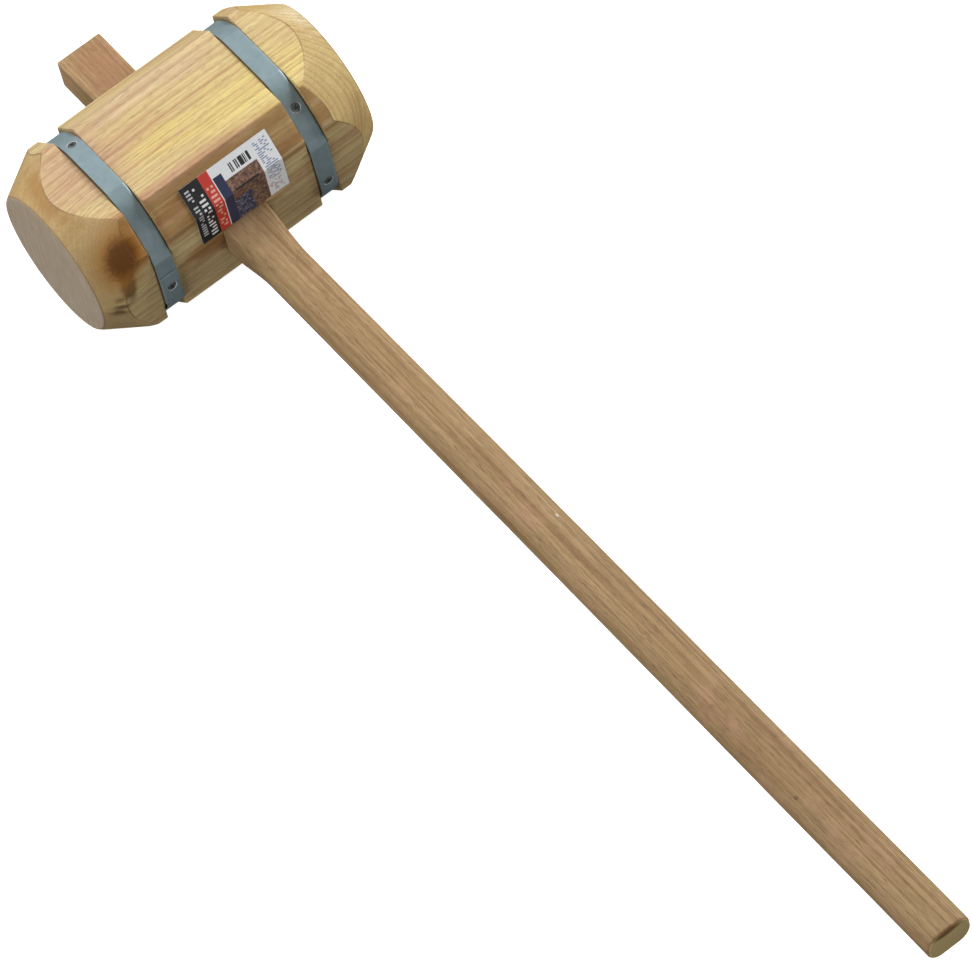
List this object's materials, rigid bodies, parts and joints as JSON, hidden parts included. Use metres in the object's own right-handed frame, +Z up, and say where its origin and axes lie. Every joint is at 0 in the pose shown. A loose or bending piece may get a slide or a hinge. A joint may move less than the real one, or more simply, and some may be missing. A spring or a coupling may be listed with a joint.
{
  "type": "wooden mallet",
  "caption": "Large two-handed wooden mallet: square-sectioned head with chamfered corners and steel bands, on a long straight handle drawn down through the head.",
  "frame": {"origin": "middle of the head's lower side flat, between the bands", "axes": "+X along the handle from the head to the butt, +Y along the head from one striking face to the other, +Z up, square to the side flat that carries no label"},
  "size_m": [0.9, 0.221, 0.1258],
  "materials": {
    "head_wood": "sanded, thin clear coat",
    "handle_wood": "sanded, open pores",
    "band_steel": "galvanised, dull",
    "screw_steel": "dark plated",
    "label_paper": "printed, satin"
  },
  "bodies": {
    "head": {"head": "head_wood", "left_band": "band_steel", "right_band": "band_steel", "label": "label_paper", "left_band_screw_1": "screw_steel", "left_band_screw_2": "screw_steel", "left_band_screw_3": "screw_steel", "right_band_screw_1": "screw_steel", "right_band_screw_2": "screw_steel", "right_band_screw_3": "screw_steel", "right_band_screw_4": "screw_steel"},
    "handle": {"handle": "handle_wood"}
  },
  "joints": [
    {"name": "handle_draw", "type": "slide", "parent": "head", "child": "handle", "axis": [-1, 0, 0], "range_m": [0, 0.83]}
  ]
}
